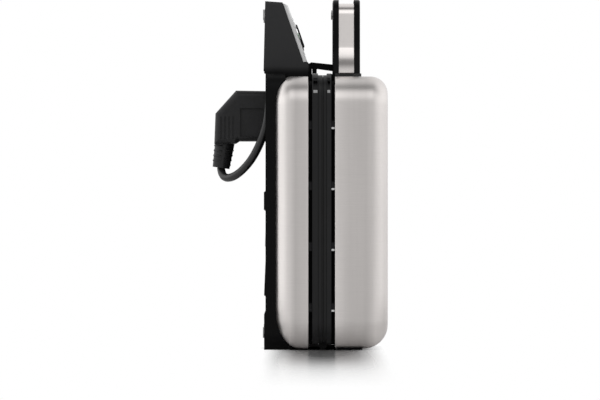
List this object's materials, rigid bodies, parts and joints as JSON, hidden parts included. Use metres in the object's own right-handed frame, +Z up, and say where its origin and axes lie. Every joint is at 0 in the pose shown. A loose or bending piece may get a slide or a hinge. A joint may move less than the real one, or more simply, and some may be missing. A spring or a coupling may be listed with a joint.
{
  "type": "waffle maker",
  "caption": "Electric waffle maker stored on end: brushed steel covers, hinged grid plates, U-shaped handle, latch, browning dial, and a lead wound in the base with its plug parked.",
  "frame": {"origin": "middle of the standing surface under the closed body, leaving out the lead and plug", "axes": "+Z up from the hinge end to the handle, +X from the base's underside to the lid's top, +Y across the width"},
  "size_m": [0.1477, 0.244, 0.295],
  "materials": {
    "brushed_cover": "fine brushing across the sides",
    "handle_steel": "fine satin",
    "black_moulding": "fine grain",
    "grip_black": "satin",
    "frame_black": "plain",
    "plate_coating": "satin release coating on cast aluminium",
    "clip_steel": "bright spring steel",
    "plain_steel": "plain sheet",
    "hinge_black": "black paint on steel",
    "element_steel": "dark oxide",
    "fascia_silver": "satin silver",
    "bright_ring": "polished",
    "pointer_white": "printed",
    "red_lens": "clear tinted",
    "green_lens": "clear tinted",
    "lamp_glass": "clear",
    "brown_insulator": "plain",
    "pad_grey": "matte",
    "collar_grey": "satin",
    "lead_black": "satin",
    "plug_black": "satin moulded",
    "pin_nickel": "nickel plated"
  },
  "bodies": {
    "base": {"base_housing": "black_moulding", "lower_shell": "brushed_cover", "lower_frame": "frame_black", "lower_grid_plate": "plate_coating", "lower_heating_element": "element_steel", "lower_reflector": "plain_steel", "lower_plate_clips": "clip_steel", "lower_plate_lugs": "clip_steel", "foot_pads": "pad_grey", "base_screws": "plain_steel", "base_hinge_leaf_near": "hinge_black", "base_hinge_leaf_far": "hinge_black", "hinge_pin_near": "hinge_black", "hinge_pin_far": "hinge_black", "latch_catch": "grip_black", "control_fascia": "fascia_silver", "dial_bezel": "bright_ring", "thermostat": "brown_insulator", "terminal_block": "brown_insulator", "power_lens": "red_lens", "ready_lens": "green_lens", "indicator_lamps": "lamp_glass", "lead_bush": "lead_black", "lead_winding": "lead_black", "lead_loop": "lead_black", "plug_body": "plug_black", "plug_pins": "pin_nickel"},
    "dial": {"dial_knob": "grip_black", "dial_pointer": "pointer_white", "dial_shaft": "plain_steel"},
    "lid": {"upper_shell": "brushed_cover", "upper_frame": "frame_black", "upper_grid_plate": "plate_coating", "upper_heating_element": "element_steel", "upper_reflector": "plain_steel", "upper_plate_clips": "clip_steel", "upper_plate_lugs": "clip_steel", "lid_hinge_leaf_near": "hinge_black", "lid_hinge_leaf_far": "hinge_black", "lid_standing_feet": "black_moulding", "handle_lower_layer": "grip_black", "handle_upper_layer": "grip_black", "handle_core": "grip_black", "handle_band": "handle_steel", "handle_collars": "collar_grey", "handle_bumpers": "pad_grey", "handle_screws": "plain_steel", "latch_bracket": "grip_black", "latch_pin": "plain_steel"},
    "latch": {"latch_lever": "grip_black"}
  },
  "joints": [
    {"name": "lid_hinge", "type": "hinge", "parent": "base", "child": "lid", "pos_m": [-0.002, 0, 0.004], "axis": [0, 1, 0], "range_deg": [0, 105]},
    {"name": "latch_pivot", "type": "hinge", "parent": "lid", "child": "latch", "pos_m": [0.0105, 0, 0.2376], "axis": [0, 1, 0], "range_deg": [0, 95]},
    {"name": "browning_dial", "type": "hinge", "parent": "base", "child": "dial", "pos_m": [-0.02593, 0, 0.26353], "axis": [0.9449, 0, 0.3272], "range_deg": [-135, 135]}
  ]
}
